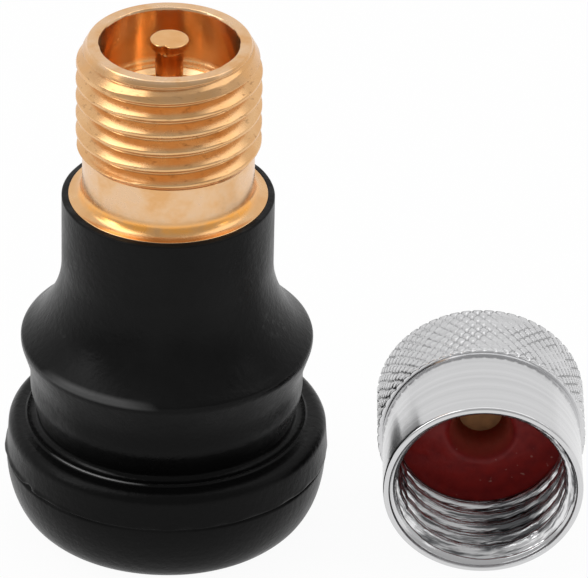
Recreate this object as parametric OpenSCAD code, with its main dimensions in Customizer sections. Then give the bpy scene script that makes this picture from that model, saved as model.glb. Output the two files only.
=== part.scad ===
// Short snap-in valve for a tubeless tyre, standing on its rubber head, with its screw cap lying beside it.
// Millimetres. The origin is on the valve's axis at the foot of the head, and +Z runs out of the mouth.

/* [Rubber body] */
// Diameter of the neck, which the hole in the wheel rim grips
neck_d = 11.5; // [10.5:0.1:12.5]
// Length of the straight neck between its groove and the bulge
neck_len = 2.28; // [1.6:0.01:4]
// How far the flange stands out from the neck
flange_reach = 0.99; // [0.7:0.01:2]
// Height of the flange's wall above the mould's parting line
flange_h = 1.64; // [1.2:0.02:2.4]
// Radius on the flange's outer top edge
flange_round = 0.25; // [0.1:0.05:0.6]
// How much the flange's wall widens down to the parting line
flange_draft = 0.1; // [0:0.02:0.2]
// How far the thin sealing bead stands off the neck
bead_offset = 0.1; // [0.08:0.01:0.2]
// Height and half width of the sealing bead
bead_size = 0.07; // [0.04:0.01:0.12]
// Radius of the relief groove where the neck meets the flange
groove_r = 0.46; // [0.25:0.01:0.55]
// Step in from the flange to the dome below the parting line
parting_step = 0.07; // [0.03:0.01:0.2]
// Height of the rounded dome under the flange
dome_h = 3.08; // [2:0.02:4]
// How far the dome draws in to the flat that it stands on
dome_inset = 1.58; // [1:0.02:2.5]
// How far the bulge stands out from the neck
bulge_reach = 0.4; // [0.25:0.05:0.6]
// Radius of the bulge's rounded edge
bulge_round = 0.55; // [0.45:0.01:1]
// Radius of the hollow flare from the bulge up to the sleeve
flare_round = 4.5; // [3:0.1:6]
// Length of the straight sleeve above the flare
sleeve_len = 3.2; // [1.5:0.02:6]
// Thickness of rubber round the stem's collar
sleeve_wall = 0.22; // [0.15:0.01:0.6]
// Diameter of the air hole through the head
air_hole_d = 3.6; // [3:0.1:4.5]
// Countersink of the air hole at the foot
air_hole_flare = 0.6; // [0.2:0.1:1]

/* [Brass stem] */
// Outside diameter of the cap thread
cap_thread_d = 7.7; // [7.4:0.05:8.2]
// Length of the cap thread
cap_thread_len = 3.85; // [3:0.05:6]
// Height of the bevel from the thread to the rim
rim_bevel_h = 0.86; // [0.4:0.02:1.2]
// How far the bevel draws in at the rim
rim_bevel_in = 0.47; // [0.2:0.01:0.6]
// Depth of the plain neck below the thread's crests
neck_relief = 0.27; // [0.1:0.01:0.4]
// Length of the plain neck between the collar and the thread
stem_neck_len = 2.45; // [1.5:0.05:4]
// Radius of the fillet from the neck out to the collar
collar_fillet = 0.5; // [0.2:0.05:0.6]
// How far the collar stands out from the thread's crests
collar_reach = 0.37; // [0.3:0.01:0.8]
// Height of the collar that the sleeve closes on
collar_h = 0.9; // [0.5:0.05:1.5]
// Diameter of the shank inside the rubber
shank_d = 6.6; // [6.2:0.1:7]
// How far each rib stands out of the shank
rib_reach = 0.42; // [0.2:0.02:0.6]
// Width of each rib
rib_w = 0.6; // [0.3:0.05:0.9]
// Least distance between the ribs that key the shank into the rubber
rib_pitch = 1.35; // [1.35:0.05:2.5]
// Diameter of the foot at the shank's lower end
foot_d = 8.4; // [7.6:0.1:9]
// Height of the foot
foot_h = 1.5; // [0.8:0.1:2.5]
// Depth of the wide mouth above the core thread
mouth_depth = 2.25; // [1.5:0.05:3]
// Step from the core's bore out to the mouth
mouth_step = 0.23; // [0.15:0.01:0.4]
// Diameter of the air passage through the foot
tail_d = 3; // [2:0.1:3.4]
// Thickness of the floor under the core
tail_floor = 1; // [0.6:0.1:2]

/* [Valve core] */
// Outside diameter of the core's thread
core_thread_d = 5.2; // [5:0.05:5.4]
// Depth of the plug's top below the floor of the mouth
plug_sunk = 0.35; // [0.1:0.05:1]
// Length of the threaded plug
plug_len = 4.85; // [4.2:0.05:6]
// Width across the two flats that the core key grips
plug_flats = 3.6; // [3:0.1:4.2]
// Height of the two flats
plug_flats_h = 1.6; // [1:0.1:2]
// Diameter of the air passage through the plug
plug_bore_d = 1.9; // [1.6:0.1:2.4]
// Outside diameter of the barrel
barrel_d = 3; // [2.8:0.1:3.2]
// Length of the barrel
barrel_len = 6.3; // [5.5:0.1:8]
// Bore of the barrel
barrel_bore_d = 2.1; // [2:0.05:2.3]
// Thickness of the barrel's flange, which the plug is crimped over
barrel_flange_t = 0.5; // [0.3:0.05:0.8]
// How far the barrel's flange stands out
barrel_flange_reach = 0.4; // [0.3:0.05:0.5]
// Thickness of the plug's crimped lip
crimp_t = 0.25; // [0.2:0.05:0.4]
// Height of the ledge inside the barrel that carries the spring
spring_ledge_t = 0.5; // [0.3:0.05:0.8]
// Hole through that ledge
spring_ledge_d = 1.5; // [1.4:0.05:1.6]
// Height of the packing ring on the barrel
packing_h = 0.9; // [0.6:0.05:1.2]
// Annular gap round the barrel in the stem's chamber
chamber_gap = 0.45; // [0.3:0.05:0.55]
// Diameter of the pin
pin_d = 1; // [0.8:0.05:1.1]
// Diameter of the pin above the plug, where a tyre chuck presses it
pin_top_d = 1.24; // [1.1:0.02:1.4]
// Diameter of the pin's flattened head
pin_head_d = 1.56; // [1.3:0.02:1.7]
// Thickness of the pin's head
pin_head_t = 0.34; // [0.2:0.02:0.6]
// Height of the pin's head above the rim
pin_proud = 0.15; // [-0.3:0.05:0.3]
// Travel of the pin when it is pressed
pin_travel = 1.2; // [0.6:0.1:1.5]
// Outside diameter of the collar that the spring pushes on
spring_collar_d = 1.86; // [1.7:0.02:1.9]
// Thickness of that collar
spring_collar_t = 0.5; // [0.3:0.05:0.8]
// Length of the spring with the valve shut
spring_len = 4; // [3.2:0.1:4.4]
// Diameter of the spring's wire
spring_wire_d = 0.24; // [0.16:0.02:0.28]
// Number of turns in the spring
spring_turns = 7; // [4:1:9]
// Thickness of the rubber seat washer
seat_washer_t = 0.8; // [0.5:0.05:1.2]
// How far the seat cup stands out from the barrel
seat_cup_reach = 0.12; // [0.05:0.01:0.2]
// Wall of the seat cup
seat_cup_wall = 0.2; // [0.15:0.01:0.3]
// How far the washer stands out of the seat cup
washer_proud = 0.2; // [0.1:0.05:0.3]
// Height of the riveted end of the pin
rivet_h = 0.3; // [0.2:0.05:0.5]

/* [Cap] */
// Thickness of the cap's closed end
cap_end_t = 1.5; // [0.5:0.1:2]
// Length of the plain skirt in front of the knurled band
skirt_len = 4; // [3:0.1:5]
// Wall of the plain skirt outside the thread
skirt_wall = 0.3; // [0.25:0.01:0.6]
// How far the knurled band stands out from the skirt
knurl_step = 0.2; // [0.15:0.01:0.5]
// Bevel from the closed end to the knurled band
cap_bevel = 0.2; // [0.1:0.05:0.5]
// Depth of the knurl
knurl_depth = 0.12; // [0.06:0.01:0.14]
// Number of diamonds round the band
knurl_count = 56; // [36:2:72]
// Rows of diamonds along the band
knurl_rows = 5; // [3:1:7]
// Rounding of the cap's mouth
mouth_round = 0.09; // [0.05:0.01:0.12]
// Depth from the cap's mouth to its seal
cap_reach = 4.2; // [3.5:0.1:5]
// Thickness of the cap's seal
seal_t = 1.5; // [0.8:0.1:1.8]
// Hole in the cap's seal
seal_hole_d = 2.7; // [1.5:0.1:4]
// Dish round that hole
seal_dish = 0.35; // [0.1:0.05:0.5]
// Step from the thread in to the pocket that holds the seal
seal_shoulder = 0.3; // [0.2:0.05:0.4]
// How far the seal's face lies below the end of the thread
seal_sunk = 0.1; // [0.05:0.05:0.3]

/* [Where the cap lies] */
// Distance of the cap's closed end to the right of the valve
cap_x = 13.3; // [12:0.05:30]
// Distance of the cap's closed end behind the valve's axis
cap_y = 2.25; // [-10:0.05:10]
// Turn of the cap's mouth to the right
cap_turn = 0.5; // [-30:0.5:30]

/* [Fits] */
// Radial clearance of the core's thread in the stem
core_clear = 0.05; // [0.02:0.01:0.08]
// Radial clearance of the cap's thread on the stem
cap_clear = 0.04; // [0.02:0.01:0.1]
// Clearance between parts of the core that seat on each other
seat_clear = 0.03; // [0.02:0.01:0.05]
// Running clearance round the crimped barrel
swivel_clear = 0.08; // [0.04:0.01:0.12]
// Room under the pin at the end of its travel
floor_clear = 0.4; // [0.2:0.05:1]

/* [Hidden] */
$fn = 72;
// Points along a quarter turn of an outline
arc_steps = 10;
// Small bevel that breaks turned edges
edge = 0.12;

// Radii of the rubber body
neck_r = neck_d / 2;
flange_r = neck_r + flange_reach;
bulge_r = neck_r + bulge_reach;
bead_r = neck_r + bead_offset;
dome_r = flange_r + flange_draft - parting_step;
air_hole_r = air_hole_d / 2;

// Radii of the stem
cap_thread_r = cap_thread_d / 2;
stem_neck_r = cap_thread_r - neck_relief;
collar_r = cap_thread_r + collar_reach;
sleeve_r = collar_r + sleeve_wall;
rim_r = cap_thread_r - rim_bevel_in;
shank_r = shank_d / 2;
rib_r = shank_r + rib_reach;
foot_r = foot_d / 2;
core_bore_r = core_thread_d / 2 + core_clear;
mouth_r = core_bore_r + mouth_step;
chamber_r = barrel_d / 2 + chamber_gap;
tail_r = tail_d / 2;

// Heights of the rubber body. The bulge's edge meets the neck below its widest point, and the hollow flare
// is tangent to the bulge's edge and to the straight sleeve.
z_flange = dome_h + flange_h;
z_groove = z_flange + groove_r;
z_neck_top = z_groove + groove_r + neck_len;
bulge_centre_r = bulge_r - bulge_round;
bulge_foot_angle = acos((neck_r - bulge_centre_r) / bulge_round);
z_bulge = z_neck_top + bulge_round * sin(bulge_foot_angle);
flare_centre_r = sleeve_r + flare_round;
flare_angle = acos((flare_centre_r - bulge_centre_r) / (flare_round + bulge_round));
z_flare_top = z_bulge + (flare_round + bulge_round) * sin(flare_angle);
z_top = z_flare_top + sleeve_len;

// Heights of the stem's outside
z_thread = z_top + stem_neck_len;
z_bevel = z_thread + cap_thread_len;
z_rim = z_bevel + rim_bevel_h;
z_collar = z_top - collar_h;

// Heights of the core, from the mouth down
z_mouth_floor = z_rim - mouth_depth;
z_plug_top = z_mouth_floor - plug_sunk;
z_plug_foot = z_plug_top - plug_len;
z_flange_foot = z_plug_foot + crimp_t + seat_clear;
z_barrel_top = z_flange_foot + barrel_flange_t;
z_barrel_foot = z_barrel_top - barrel_len;
z_packing_top = z_plug_foot - seat_clear;
z_packing_foot = z_packing_top - packing_h;
z_ledge = z_barrel_foot + spring_ledge_t;
z_spring_top = z_ledge + spring_len;
z_cup_floor = z_barrel_foot - seat_washer_t;
z_cup_lip = z_barrel_foot - washer_proud;
z_cup_foot = z_cup_floor - seat_cup_wall;
z_pin_foot = z_cup_foot - rivet_h;
z_pin_top = z_rim + pin_proud;
z_chamber_floor = z_pin_foot - pin_travel - floor_clear;
z_stem_foot = z_chamber_floor - tail_floor;

// The cap, measured along its own axis from its closed end
cap_bore_r = cap_thread_r + cap_clear;
skirt_r = cap_bore_r + skirt_wall;
knurl_r = skirt_r + knurl_step;
knurl_core_r = knurl_r - 2 * knurl_depth;
seal_pocket_r = cap_bore_r - seal_shoulder;
seal_face = cap_end_t + seal_t;
cap_len = seal_face + cap_reach;
knurl_end = cap_len - skirt_len;
// It lies on the front edge of its knurled band and on the rim of its mouth
cap_tilt = atan(knurl_step / (skirt_len - mouth_round));
cap_z = knurl_end * sin(cap_tilt) + knurl_r * cos(cap_tilt);

// Points on an arc about a centre, from one angle to another
function arc(centre, r, from, to, steps = arc_steps) =
    [for (i = [0:steps]) let (a = from + (to - from) * i / steps) centre + r * [cos(a), sin(a)]];

// A quarter ellipse that starts level at one point and ends upright at the other
function quarter(level, upright, steps = arc_steps) =
    [for (i = [0:steps]) let (a = 90 * i / steps)
        [level[0] + (upright[0] - level[0]) * sin(a), upright[1] + (level[1] - upright[1]) * cos(a)]];

function reversed(points) = [for (i = [len(points) - 1:-1:0]) points[i]];

// Outside of the rubber, from the head's foot to the top of the sleeve
function rubber_outside() = concat(
    quarter([dome_r - dome_inset, 0], [dome_r, dome_h]),
    [[flange_r + flange_draft, dome_h + parting_step]],
    arc([flange_r - flange_round, z_flange - flange_round], flange_round, 0, 90),
    [[bead_r + bead_size, z_flange], [bead_r, z_flange + bead_size], [neck_r, z_flange]],
    arc([neck_r, z_groove], groove_r, 255, 90),
    arc([bulge_centre_r, z_bulge], bulge_round, -bulge_foot_angle, flare_angle),
    arc([flare_centre_r, z_flare_top], flare_round, 180 + flare_angle, 180),
    [[sleeve_r, z_top - edge], [sleeve_r - edge, z_top]]);

// Lower and upper corners of one rib on the shank
function rib(z) = [[shank_r, z - rib_w / 2 - rib_reach], [rib_r, z - rib_w / 2], [rib_r, z + rib_w / 2],
                   [shank_r, z + rib_w / 2]];

// Outside of the stem where it is moulded into the rubber, from its foot up to the collar
function stem_embedded() =
    let (low = z_stem_foot + foot_h + foot_r - shank_r,
         high = z_collar - collar_r + shank_r,
         spaces = floor((high - low) / rib_pitch))
    concat([[foot_r, z_stem_foot], [foot_r, z_stem_foot + foot_h], [shank_r, low]],
           [for (i = [1:1:spaces - 1]) each rib(low + (high - low) * i / spaces)],
           [[shank_r, high], [collar_r, z_collar], [collar_r, z_top]]);

// Outside of the stem above the rubber
function stem_exposed() = concat(
    arc([stem_neck_r + collar_fillet, z_top + collar_fillet], collar_fillet, 270, 180),
    [[stem_neck_r, z_thread - neck_relief], [cap_thread_r, z_thread],
     [cap_thread_r, z_bevel], [rim_r, z_rim]]);

// Inside of the stem, from the rim down to the foot. The seat's taper is the packing's own.
function stem_inside() = [
    [mouth_r + edge, z_rim], [mouth_r, z_rim - edge], [mouth_r, z_mouth_floor],
    [core_bore_r, z_mouth_floor - mouth_step], [core_bore_r, z_packing_top], [chamber_r, z_packing_foot],
    [chamber_r, z_chamber_floor], [tail_r, z_chamber_floor], [tail_r, z_stem_foot]];

// A turned ring with a square section
module ring(inner_r, outer_r, z, h) {
    rotate_extrude() translate([inner_r, z]) square([outer_r - inner_r, h]);
}

// The moulded rubber, closed on the stem's ribs, with the air hole through its head
module rubber_body() {
    color("#1d1d1f") rotate_extrude() polygon(concat(
        rubber_outside(), reversed(stem_embedded()),
        [[air_hole_r, z_stem_foot], [air_hole_r, air_hole_flare], [air_hole_r + air_hole_flare, 0]]));
}

// The turned stem. Its threads are plain cylinders at the crests.
module brass_stem() {
    color("#d9a04f") rotate_extrude() polygon(concat(stem_embedded(), stem_exposed(), stem_inside()));
}

// The threaded plug that holds the core down, with two flats for the core key and a crimped skirt
module core_plug() {
    plug_r = core_thread_d / 2;
    bore_r = plug_bore_d / 2;
    lip_r = barrel_d / 2 + swivel_clear;
    socket_r = barrel_d / 2 + barrel_flange_reach + swivel_clear;
    z_socket = z_barrel_top + seat_clear;
    color("#caa25c") difference() {
        rotate_extrude() polygon([
            [lip_r, z_plug_foot], [plug_r - edge, z_plug_foot], [plug_r, z_plug_foot + edge],
            [plug_r, z_plug_top - edge], [plug_r - edge, z_plug_top], [bore_r + edge, z_plug_top],
            [bore_r, z_plug_top - edge], [bore_r, z_socket], [socket_r, z_socket],
            [socket_r, z_plug_foot + crimp_t], [lip_r, z_plug_foot + crimp_t]]);
        for (side = [-1, 1])
            translate([side * (plug_flats / 2 + plug_r), 0, z_plug_top])
                cube([2 * plug_r, 2 * core_thread_d, 2 * plug_flats_h], center = true);
    }
}

// The barrel that hangs from the plug, with a ledge for the spring and its lower edge as the valve seat
module core_barrel() {
    outer_r = barrel_d / 2;
    flange = outer_r + barrel_flange_reach;
    bore_r = barrel_bore_d / 2;
    color("#c8a865") rotate_extrude() polygon([
        [spring_ledge_d / 2, z_barrel_foot], [outer_r, z_barrel_foot], [outer_r, z_flange_foot],
        [flange, z_flange_foot], [flange, z_barrel_top], [bore_r, z_barrel_top],
        [bore_r, z_ledge], [spring_ledge_d / 2, z_ledge]]);
}

// The tapered packing that seals the barrel in the stem
module barrel_packing() {
    inner_r = barrel_d / 2 + seat_clear;
    color("#8c2a22") rotate_extrude() polygon([
        [inner_r, z_packing_foot], [chamber_r - seat_clear, z_packing_foot],
        [core_bore_r - seat_clear, z_packing_top], [inner_r, z_packing_top]]);
}

// The pin: flattened head, thick top, thin shaft and riveted foot
module core_pin() {
    shaft_r = pin_d / 2;
    top_r = pin_top_d / 2;
    head_r = pin_head_d / 2;
    z_neck = z_pin_top - pin_head_t;
    z_shaft = z_spring_top + spring_collar_t;
    color("#d8a55a") rotate_extrude() polygon([
        [0, z_pin_foot], [shaft_r + rivet_h - edge, z_pin_foot], [shaft_r + rivet_h, z_pin_foot + edge],
        [shaft_r + rivet_h, z_cup_foot], [shaft_r, z_cup_foot], [shaft_r, z_shaft], [top_r, z_shaft],
        [top_r, z_neck - head_r + top_r], [head_r, z_neck], [head_r, z_pin_top - edge / 2],
        [head_r - edge, z_pin_top], [0, z_pin_top]]);
}

// The collar under the pin's shoulder, which the spring pushes up
module spring_collar() {
    color("#bf9a55") ring(pin_d / 2, spring_collar_d / 2, z_spring_top, spring_collar_t);
}

// The coil spring between the barrel's ledge and the collar: a round wire swept along a helix
module core_spring() {
    steps_per_turn = 14;
    sides = 8;
    wire_r = spring_wire_d / 2;
    coil_r = (pin_d + barrel_bore_d) / 4;
    count = spring_turns * steps_per_turn;
    rise = spring_len - spring_wire_d;
    function wire_point(i, k) =
        let (turn = 360 * i / steps_per_turn, side = 360 * k / sides, r = coil_r + wire_r * cos(side))
        [r * cos(turn), r * sin(turn), z_ledge + wire_r + rise * i / count + wire_r * sin(side)];
    points = [for (i = [0:count]) for (k = [0:sides - 1]) wire_point(i, k)];
    walls = [for (i = [0:count - 1]) for (k = [0:sides - 1])
        let (a = i * sides + k, b = i * sides + (k + 1) % sides)
        each [[a, a + sides, b], [b, a + sides, b + sides]]];
    ends = [[for (k = [0:sides - 1]) k], [for (k = [sides - 1:-1:0]) count * sides + k]];
    color("#b9bcc0") polyhedron(points, concat(walls, ends));
}

// The shallow cup riveted to the pin's foot
module seat_cup() {
    inner_r = barrel_d / 2 + seat_cup_reach - seat_cup_wall;
    color("#bf9a55") rotate_extrude() polygon([
        [pin_d / 2, z_cup_foot], [inner_r + seat_cup_wall, z_cup_foot],
        [inner_r + seat_cup_wall, z_cup_lip], [inner_r, z_cup_lip],
        [inner_r, z_cup_floor], [pin_d / 2, z_cup_floor]]);
}

// The rubber washer in the cup, which shuts against the barrel's lower edge
module seat_washer() {
    outer_r = barrel_d / 2 + seat_cup_reach - seat_cup_wall;
    color("#26262a") ring(pin_d / 2, outer_r, z_cup_floor, seat_washer_t);
}

// A puck whose wall is a diamond knurl. Points alternate high and low round and along it, and every square is
// split between its two low corners, so each high point is the tip of a four-sided pyramid.
module knurled_puck(r, depth, z, h) {
    around = 2 * knurl_count;
    along = 2 * knurl_rows;
    function high(i, j) = (i + j) % 2 == 0;
    function wall_point(i, j) =
        let (turn = 360 * i / around, at = r - (high(i, j) ? 0 : depth))
        [at * cos(turn), at * sin(turn), z + h * j / along];
    wall_points = [for (j = [0:along]) for (i = [0:around - 1]) wall_point(i, j)];
    points = concat(wall_points, [[0, 0, z], [0, 0, z + h]]);
    function corner(i, j) = j * around + i % around;
    function square_of(i, j) = [corner(i, j), corner(i, j + 1), corner(i + 1, j + 1), corner(i + 1, j)];
    function split(q, first_high) = first_high
        ? [[q[0], q[1], q[3]], [q[1], q[2], q[3]]]
        : [[q[0], q[1], q[2]], [q[0], q[2], q[3]]];
    walls = [for (j = [0:along - 1]) for (i = [0:around - 1]) each split(square_of(i, j), high(i, j))];
    foot = [for (i = [0:around - 1]) [len(points) - 2, corner(i, 0), corner(i + 1, 0)]];
    top = [for (i = [0:around - 1]) [len(points) - 1, corner(i + 1, along), corner(i, along)]];
    polyhedron(points, concat(walls, foot, top));
}

// Lays the cap on its side, its mouth towards the front
module cap_pose() {
    translate([cap_x, cap_y, cap_z]) rotate([90 + cap_tilt, 0, cap_turn]) children();
}

// The plated cap: closed end, knurled band and plain threaded skirt
module cap_shell() {
    color("#c9ccd0") cap_pose() difference() {
        union() {
            rotate_extrude() polygon(concat(
                [[0, 0], [knurl_core_r - cap_bevel, 0], [knurl_core_r, cap_bevel],
                 [knurl_core_r, knurl_end - edge], [skirt_r - edge, knurl_end - edge],
                 [skirt_r - edge, knurl_end + edge / 2], [skirt_r, knurl_end + 1.5 * edge]],
                arc([skirt_r - mouth_round, cap_len - mouth_round], mouth_round, 0, 90),
                [[0, cap_len]]));
            knurled_puck(knurl_r, knurl_depth, cap_bevel, knurl_end - cap_bevel);
        }
        rotate_extrude() polygon([
            [0, cap_end_t], [seal_pocket_r, cap_end_t], [seal_pocket_r, seal_face + seal_sunk],
            [cap_bore_r, seal_face + seal_sunk], [cap_bore_r, cap_len - edge], [cap_bore_r + edge, cap_len],
            [cap_bore_r + edge, 2 * cap_len], [0, 2 * cap_len]]);
    }
}

// The red rubber washer pressed into the pocket at the bottom of the cap
module cap_seal() {
    outer_r = seal_pocket_r - seat_clear;
    hole_r = seal_hole_d / 2;
    color("#7d1414") cap_pose() rotate_extrude() polygon([
        [hole_r, cap_end_t], [outer_r, cap_end_t], [outer_r, seal_face],
        [hole_r + seal_dish, seal_face], [hole_r, seal_face - seal_dish]]);
}

rubber_body();
brass_stem();
core_plug();
core_barrel();
barrel_packing();
core_pin();
spring_collar();
core_spring();
seat_cup();
seat_washer();
cap_shell();
cap_seal();
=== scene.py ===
# %% [markdown]
# # A snap-in tyre valve with its cap off
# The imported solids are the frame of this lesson: they give every place and size, and this file adds the
# looks. A valve is almost all lathe work and moulding, so nearly every piece here is one idea: an outline
# in (radius, height) carried round an axis, with a thread, a knurl or a mould mark added as a second
# function of the angle. Outlines are written in millimetres, as on a drawing, and become metres when the
# mesh is made.

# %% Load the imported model
import math

import bpy
import numpy as np
from mathutils import Matrix, Quaternion, Vector


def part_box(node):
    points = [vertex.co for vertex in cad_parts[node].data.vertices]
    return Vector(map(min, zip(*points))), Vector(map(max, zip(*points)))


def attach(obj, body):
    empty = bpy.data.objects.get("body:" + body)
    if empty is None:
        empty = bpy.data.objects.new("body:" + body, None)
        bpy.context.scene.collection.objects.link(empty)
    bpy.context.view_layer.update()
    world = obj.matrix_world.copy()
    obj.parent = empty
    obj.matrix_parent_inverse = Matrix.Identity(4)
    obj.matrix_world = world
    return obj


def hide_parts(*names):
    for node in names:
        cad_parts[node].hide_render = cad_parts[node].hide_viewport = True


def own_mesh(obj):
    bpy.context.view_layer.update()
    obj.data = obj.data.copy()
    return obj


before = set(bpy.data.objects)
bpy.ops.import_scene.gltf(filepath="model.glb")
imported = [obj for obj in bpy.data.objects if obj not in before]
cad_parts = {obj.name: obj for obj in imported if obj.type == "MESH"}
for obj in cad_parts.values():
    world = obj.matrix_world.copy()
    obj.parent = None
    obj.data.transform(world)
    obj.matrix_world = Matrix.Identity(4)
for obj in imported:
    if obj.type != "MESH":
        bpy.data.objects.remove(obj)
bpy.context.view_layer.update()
MM = 0.001
scene = bpy.context.scene
print("solids:", sorted(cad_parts))


def heights(node):
    """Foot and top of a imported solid, in millimetres above the table."""
    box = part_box(node)
    return box[0].z / MM, box[1].z / MM


# %% [markdown]
# ## Camera
# A long lens from 30 cm, 31 degrees above the table, keeps the sides of the stem almost parallel. The
# lens is worked out for a picture of 588 by 578 pixels, from its width. The roll of about one degree is
# how the photograph's camera was held.

# %% Camera
IMAGE_W, FOCAL_PX = 588, 7166
view_target = Vector((5.3, 0.0, 10.875)) * MM
elevation, roll, distance = math.radians(31.0), math.radians(1.1), 300 * MM
away = Vector((0.0, -math.cos(elevation), math.sin(elevation)))
lens = bpy.data.cameras.new("table_camera")
lens.sensor_fit = "HORIZONTAL"
lens.sensor_width = 36.0
lens.lens = FOCAL_PX / IMAGE_W * lens.sensor_width
lens.clip_start, lens.clip_end = 0.01, 10.0
camera = bpy.data.objects.new("table_camera", lens)
camera.location = view_target + away * distance
camera.rotation_mode = "QUATERNION"
camera.rotation_quaternion = (-away).to_track_quat("-Z", "Y") @ Quaternion((0, 0, 1), roll)
scene.collection.objects.link(camera)
scene.camera = camera
scene.view_settings.view_transform = "Standard"
print("lens", round(lens.lens, 1), "mm, camera at", [round(c / MM, 1) for c in camera.location])

# %% [markdown]
# ## Colours and nodes
# Colours are written as sRGB hex, the way a picture shows them, and turned to linear light once, here. One
# small function adds a shader node with its settings and links, so that a material reads as a list of what
# it is made of.

# %% Colour and node helpers
def linear(code):
    """Linear RGBA of an sRGB hex code: a channel is divided by 12.92 near black and raised to 2.4 above."""
    c = np.array([int(code[i:i + 2], 16) for i in (1, 3, 5)]) / 255
    return tuple(np.where(c <= 0.04045, c / 12.92, ((c + 0.055) / 1.055) ** 2.4)) + (1.0,)


def add(tree, kind, inputs=None, stops=(), **settings):
    """Adds a shader node and gives its outputs. Settings are its own properties, each input is a value or the
    output that feeds it, and stops are the (position, hex colour) pairs of a colour ramp."""
    made = tree.nodes.new("ShaderNode" + kind)
    for key, value in settings.items():
        setattr(made, key, value)
    for key, value in (inputs or {}).items():
        if isinstance(value, bpy.types.NodeSocket):
            tree.links.new(value, made.inputs[key])
        else:
            made.inputs[key].default_value = value
    for i, (position, code) in enumerate(stops):
        made.color_ramp.elements[i].position = position
        made.color_ramp.elements[i].color = linear(code)
    return made.outputs


def new_material(name):
    """An empty node material: its tree, its Principled shader and its Object coordinates."""
    material = bpy.data.materials.new(name)
    material.use_nodes = True
    tree = material.node_tree
    shader = tree.nodes["Principled BSDF"]
    place = add(tree, "TexCoord")["Object"]
    return material, tree, shader, place


print("brass gold in linear light:", np.round(linear("#E0B482"), 3))

# %% [markdown]
# ## Floor
# The valve stands on a plain white table in front of a white ground. For the camera and for reflections the
# table is mostly its own white, and the rest is the light that falls on it, so it keeps a little of the
# shadow. Light Path tells the two kinds of ray apart, which is cheaper and steadier than lighting a table
# until it is white.

# %% White table
reach = 0.9
corners = [(-reach, -reach, 0), (reach, -reach, 0), (reach, reach, 0), (-reach, reach, 0)]
table_mesh = bpy.data.meshes.new("table_top")
table_mesh.from_pydata(corners, [], [(0, 1, 2, 3)])
table_top = bpy.data.objects.new("table_top", table_mesh)
scene.collection.objects.link(table_top)
print("table of", 2 * reach, "m")

# %% White paper
# Matt white paper gives the eye no edge and no shine, only the soft shadow at the foot of the valve.
OWN_WHITE_SEEN, OWN_WHITE_MIRRORED = 0.95, 0.9
paper = bpy.data.materials.new("white_paper")
paper.use_nodes = True
tree = paper.node_tree
tree.nodes.remove(tree.nodes["Principled BSDF"])
ray = add(tree, "LightPath")
glossy, through = ray["Is Glossy Ray"], ray["Is Transmission Ray"]
mirrored = add(tree, "Math", {0: glossy, 1: through}, operation="MAXIMUM")[0]
mirrored = add(tree, "Math", {0: mirrored, 1: OWN_WHITE_MIRRORED}, operation="MULTIPLY")[0]
seen = add(tree, "Math", {0: ray["Is Camera Ray"], 1: OWN_WHITE_SEEN}, operation="MULTIPLY")[0]
share = add(tree, "Math", {0: seen, 1: mirrored}, operation="MAXIMUM")[0]
lit = add(tree, "BsdfDiffuse", {"Color": linear("#F4F4F4")})[0]
own = add(tree, "Emission", {"Color": (1, 1, 1, 1), "Strength": 1.0})[0]
white = add(tree, "MixShader", {0: share, 1: lit, 2: own})[0]
tree.links.new(white, tree.nodes["Material Output"].inputs["Surface"])
table_mesh.materials.append(paper)
print(paper.name, "of", len(tree.nodes), "nodes")

# %% [markdown]
# ## Light
# Turned brass shows its shape by what it mirrors. A room that is white all round leaves it flat, so this
# one is dimmer on the camera's side. Three large soft lamps hang over the valve, and two small ones stand
# low at the sides: they put the thin bright streaks into the mouth of the stem and on the edges of the
# rubber.

# %% White room with a dim side
BACK_LIGHT, FRONT_LIGHT = 0.9, 0.5
room = bpy.data.worlds.new("white_room")
room.use_nodes = True
scene.world = room
tree = room.node_tree
ground = tree.nodes["Background"]
toward = add(tree, "TexCoord")["Generated"]
facing = add(tree, "VectorMath", {0: toward, 1: away}, operation="DOT_PRODUCT")["Value"]
dim = add(tree, "MapRange", {"Value": facing, "From Min": -0.45, "From Max": 0.75,
                             "To Min": BACK_LIGHT, "To Max": FRONT_LIGHT},
          interpolation_type="SMOOTHSTEP")[0]
camera_ray = add(tree, "LightPath")["Is Camera Ray"]
strength = add(tree, "Math", {0: dim, 1: camera_ray}, operation="MAXIMUM")[0]
tree.links.new(strength, ground.inputs["Strength"])
ground.inputs["Color"].default_value = (1, 1, 1, 1)
print("room:", BACK_LIGHT, "behind the valve,", FRONT_LIGHT, "behind the camera")


# %% Soft lamps
def soft_lamp(name, direction, metres, size, radiance):
    """A square lamp that faces the valve. Its power is radiance times pi times its area."""
    data = bpy.data.lights.new(name, "AREA")
    data.shape, data.size = "SQUARE", size
    data.energy = radiance * math.pi * size ** 2
    lamp = bpy.data.objects.new(name, data)
    aim = Vector(direction).normalized()
    lamp.location = view_target + aim * metres
    lamp.rotation_euler = aim.to_track_quat("Z", "Y").to_euler()
    scene.collection.objects.link(lamp)


# Name, direction from the valve, distance and width in metres, and brightness, where the white ground is 1
LAMPS = (("left_soft_lamp", (-0.58, -0.02, 0.80), 0.40, 0.24, 2.0),
         ("right_soft_lamp", (0.56, 0.1, 0.82), 0.40, 0.22, 0.9),
         ("top_soft_lamp", (0.0, 0.25, 1.0), 0.45, 0.26, 0.8),
         ("low_left_lamp", (-0.84, -0.19, 0.50), 0.40, 0.11, 3.6),
         ("low_right_lamp", (0.84, -0.19, 0.50), 0.40, 0.08, 1.4))
for lamp in LAMPS:
    soft_lamp(*lamp)
print("lamps:", [lamp[0] for lamp in LAMPS])

# %% [markdown]
# ## Outlines
# A lathe piece is an outline turned about an axis. The outline is written as corners with a rounding each,
# or as arcs, then filled with points so that no step is long. Rounded corners matter more than any texture,
# because a metal edge shows as the line of light in its rounding. A Bevel modifier could round them too,
# but here each rounding stands beside its corner.

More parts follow.
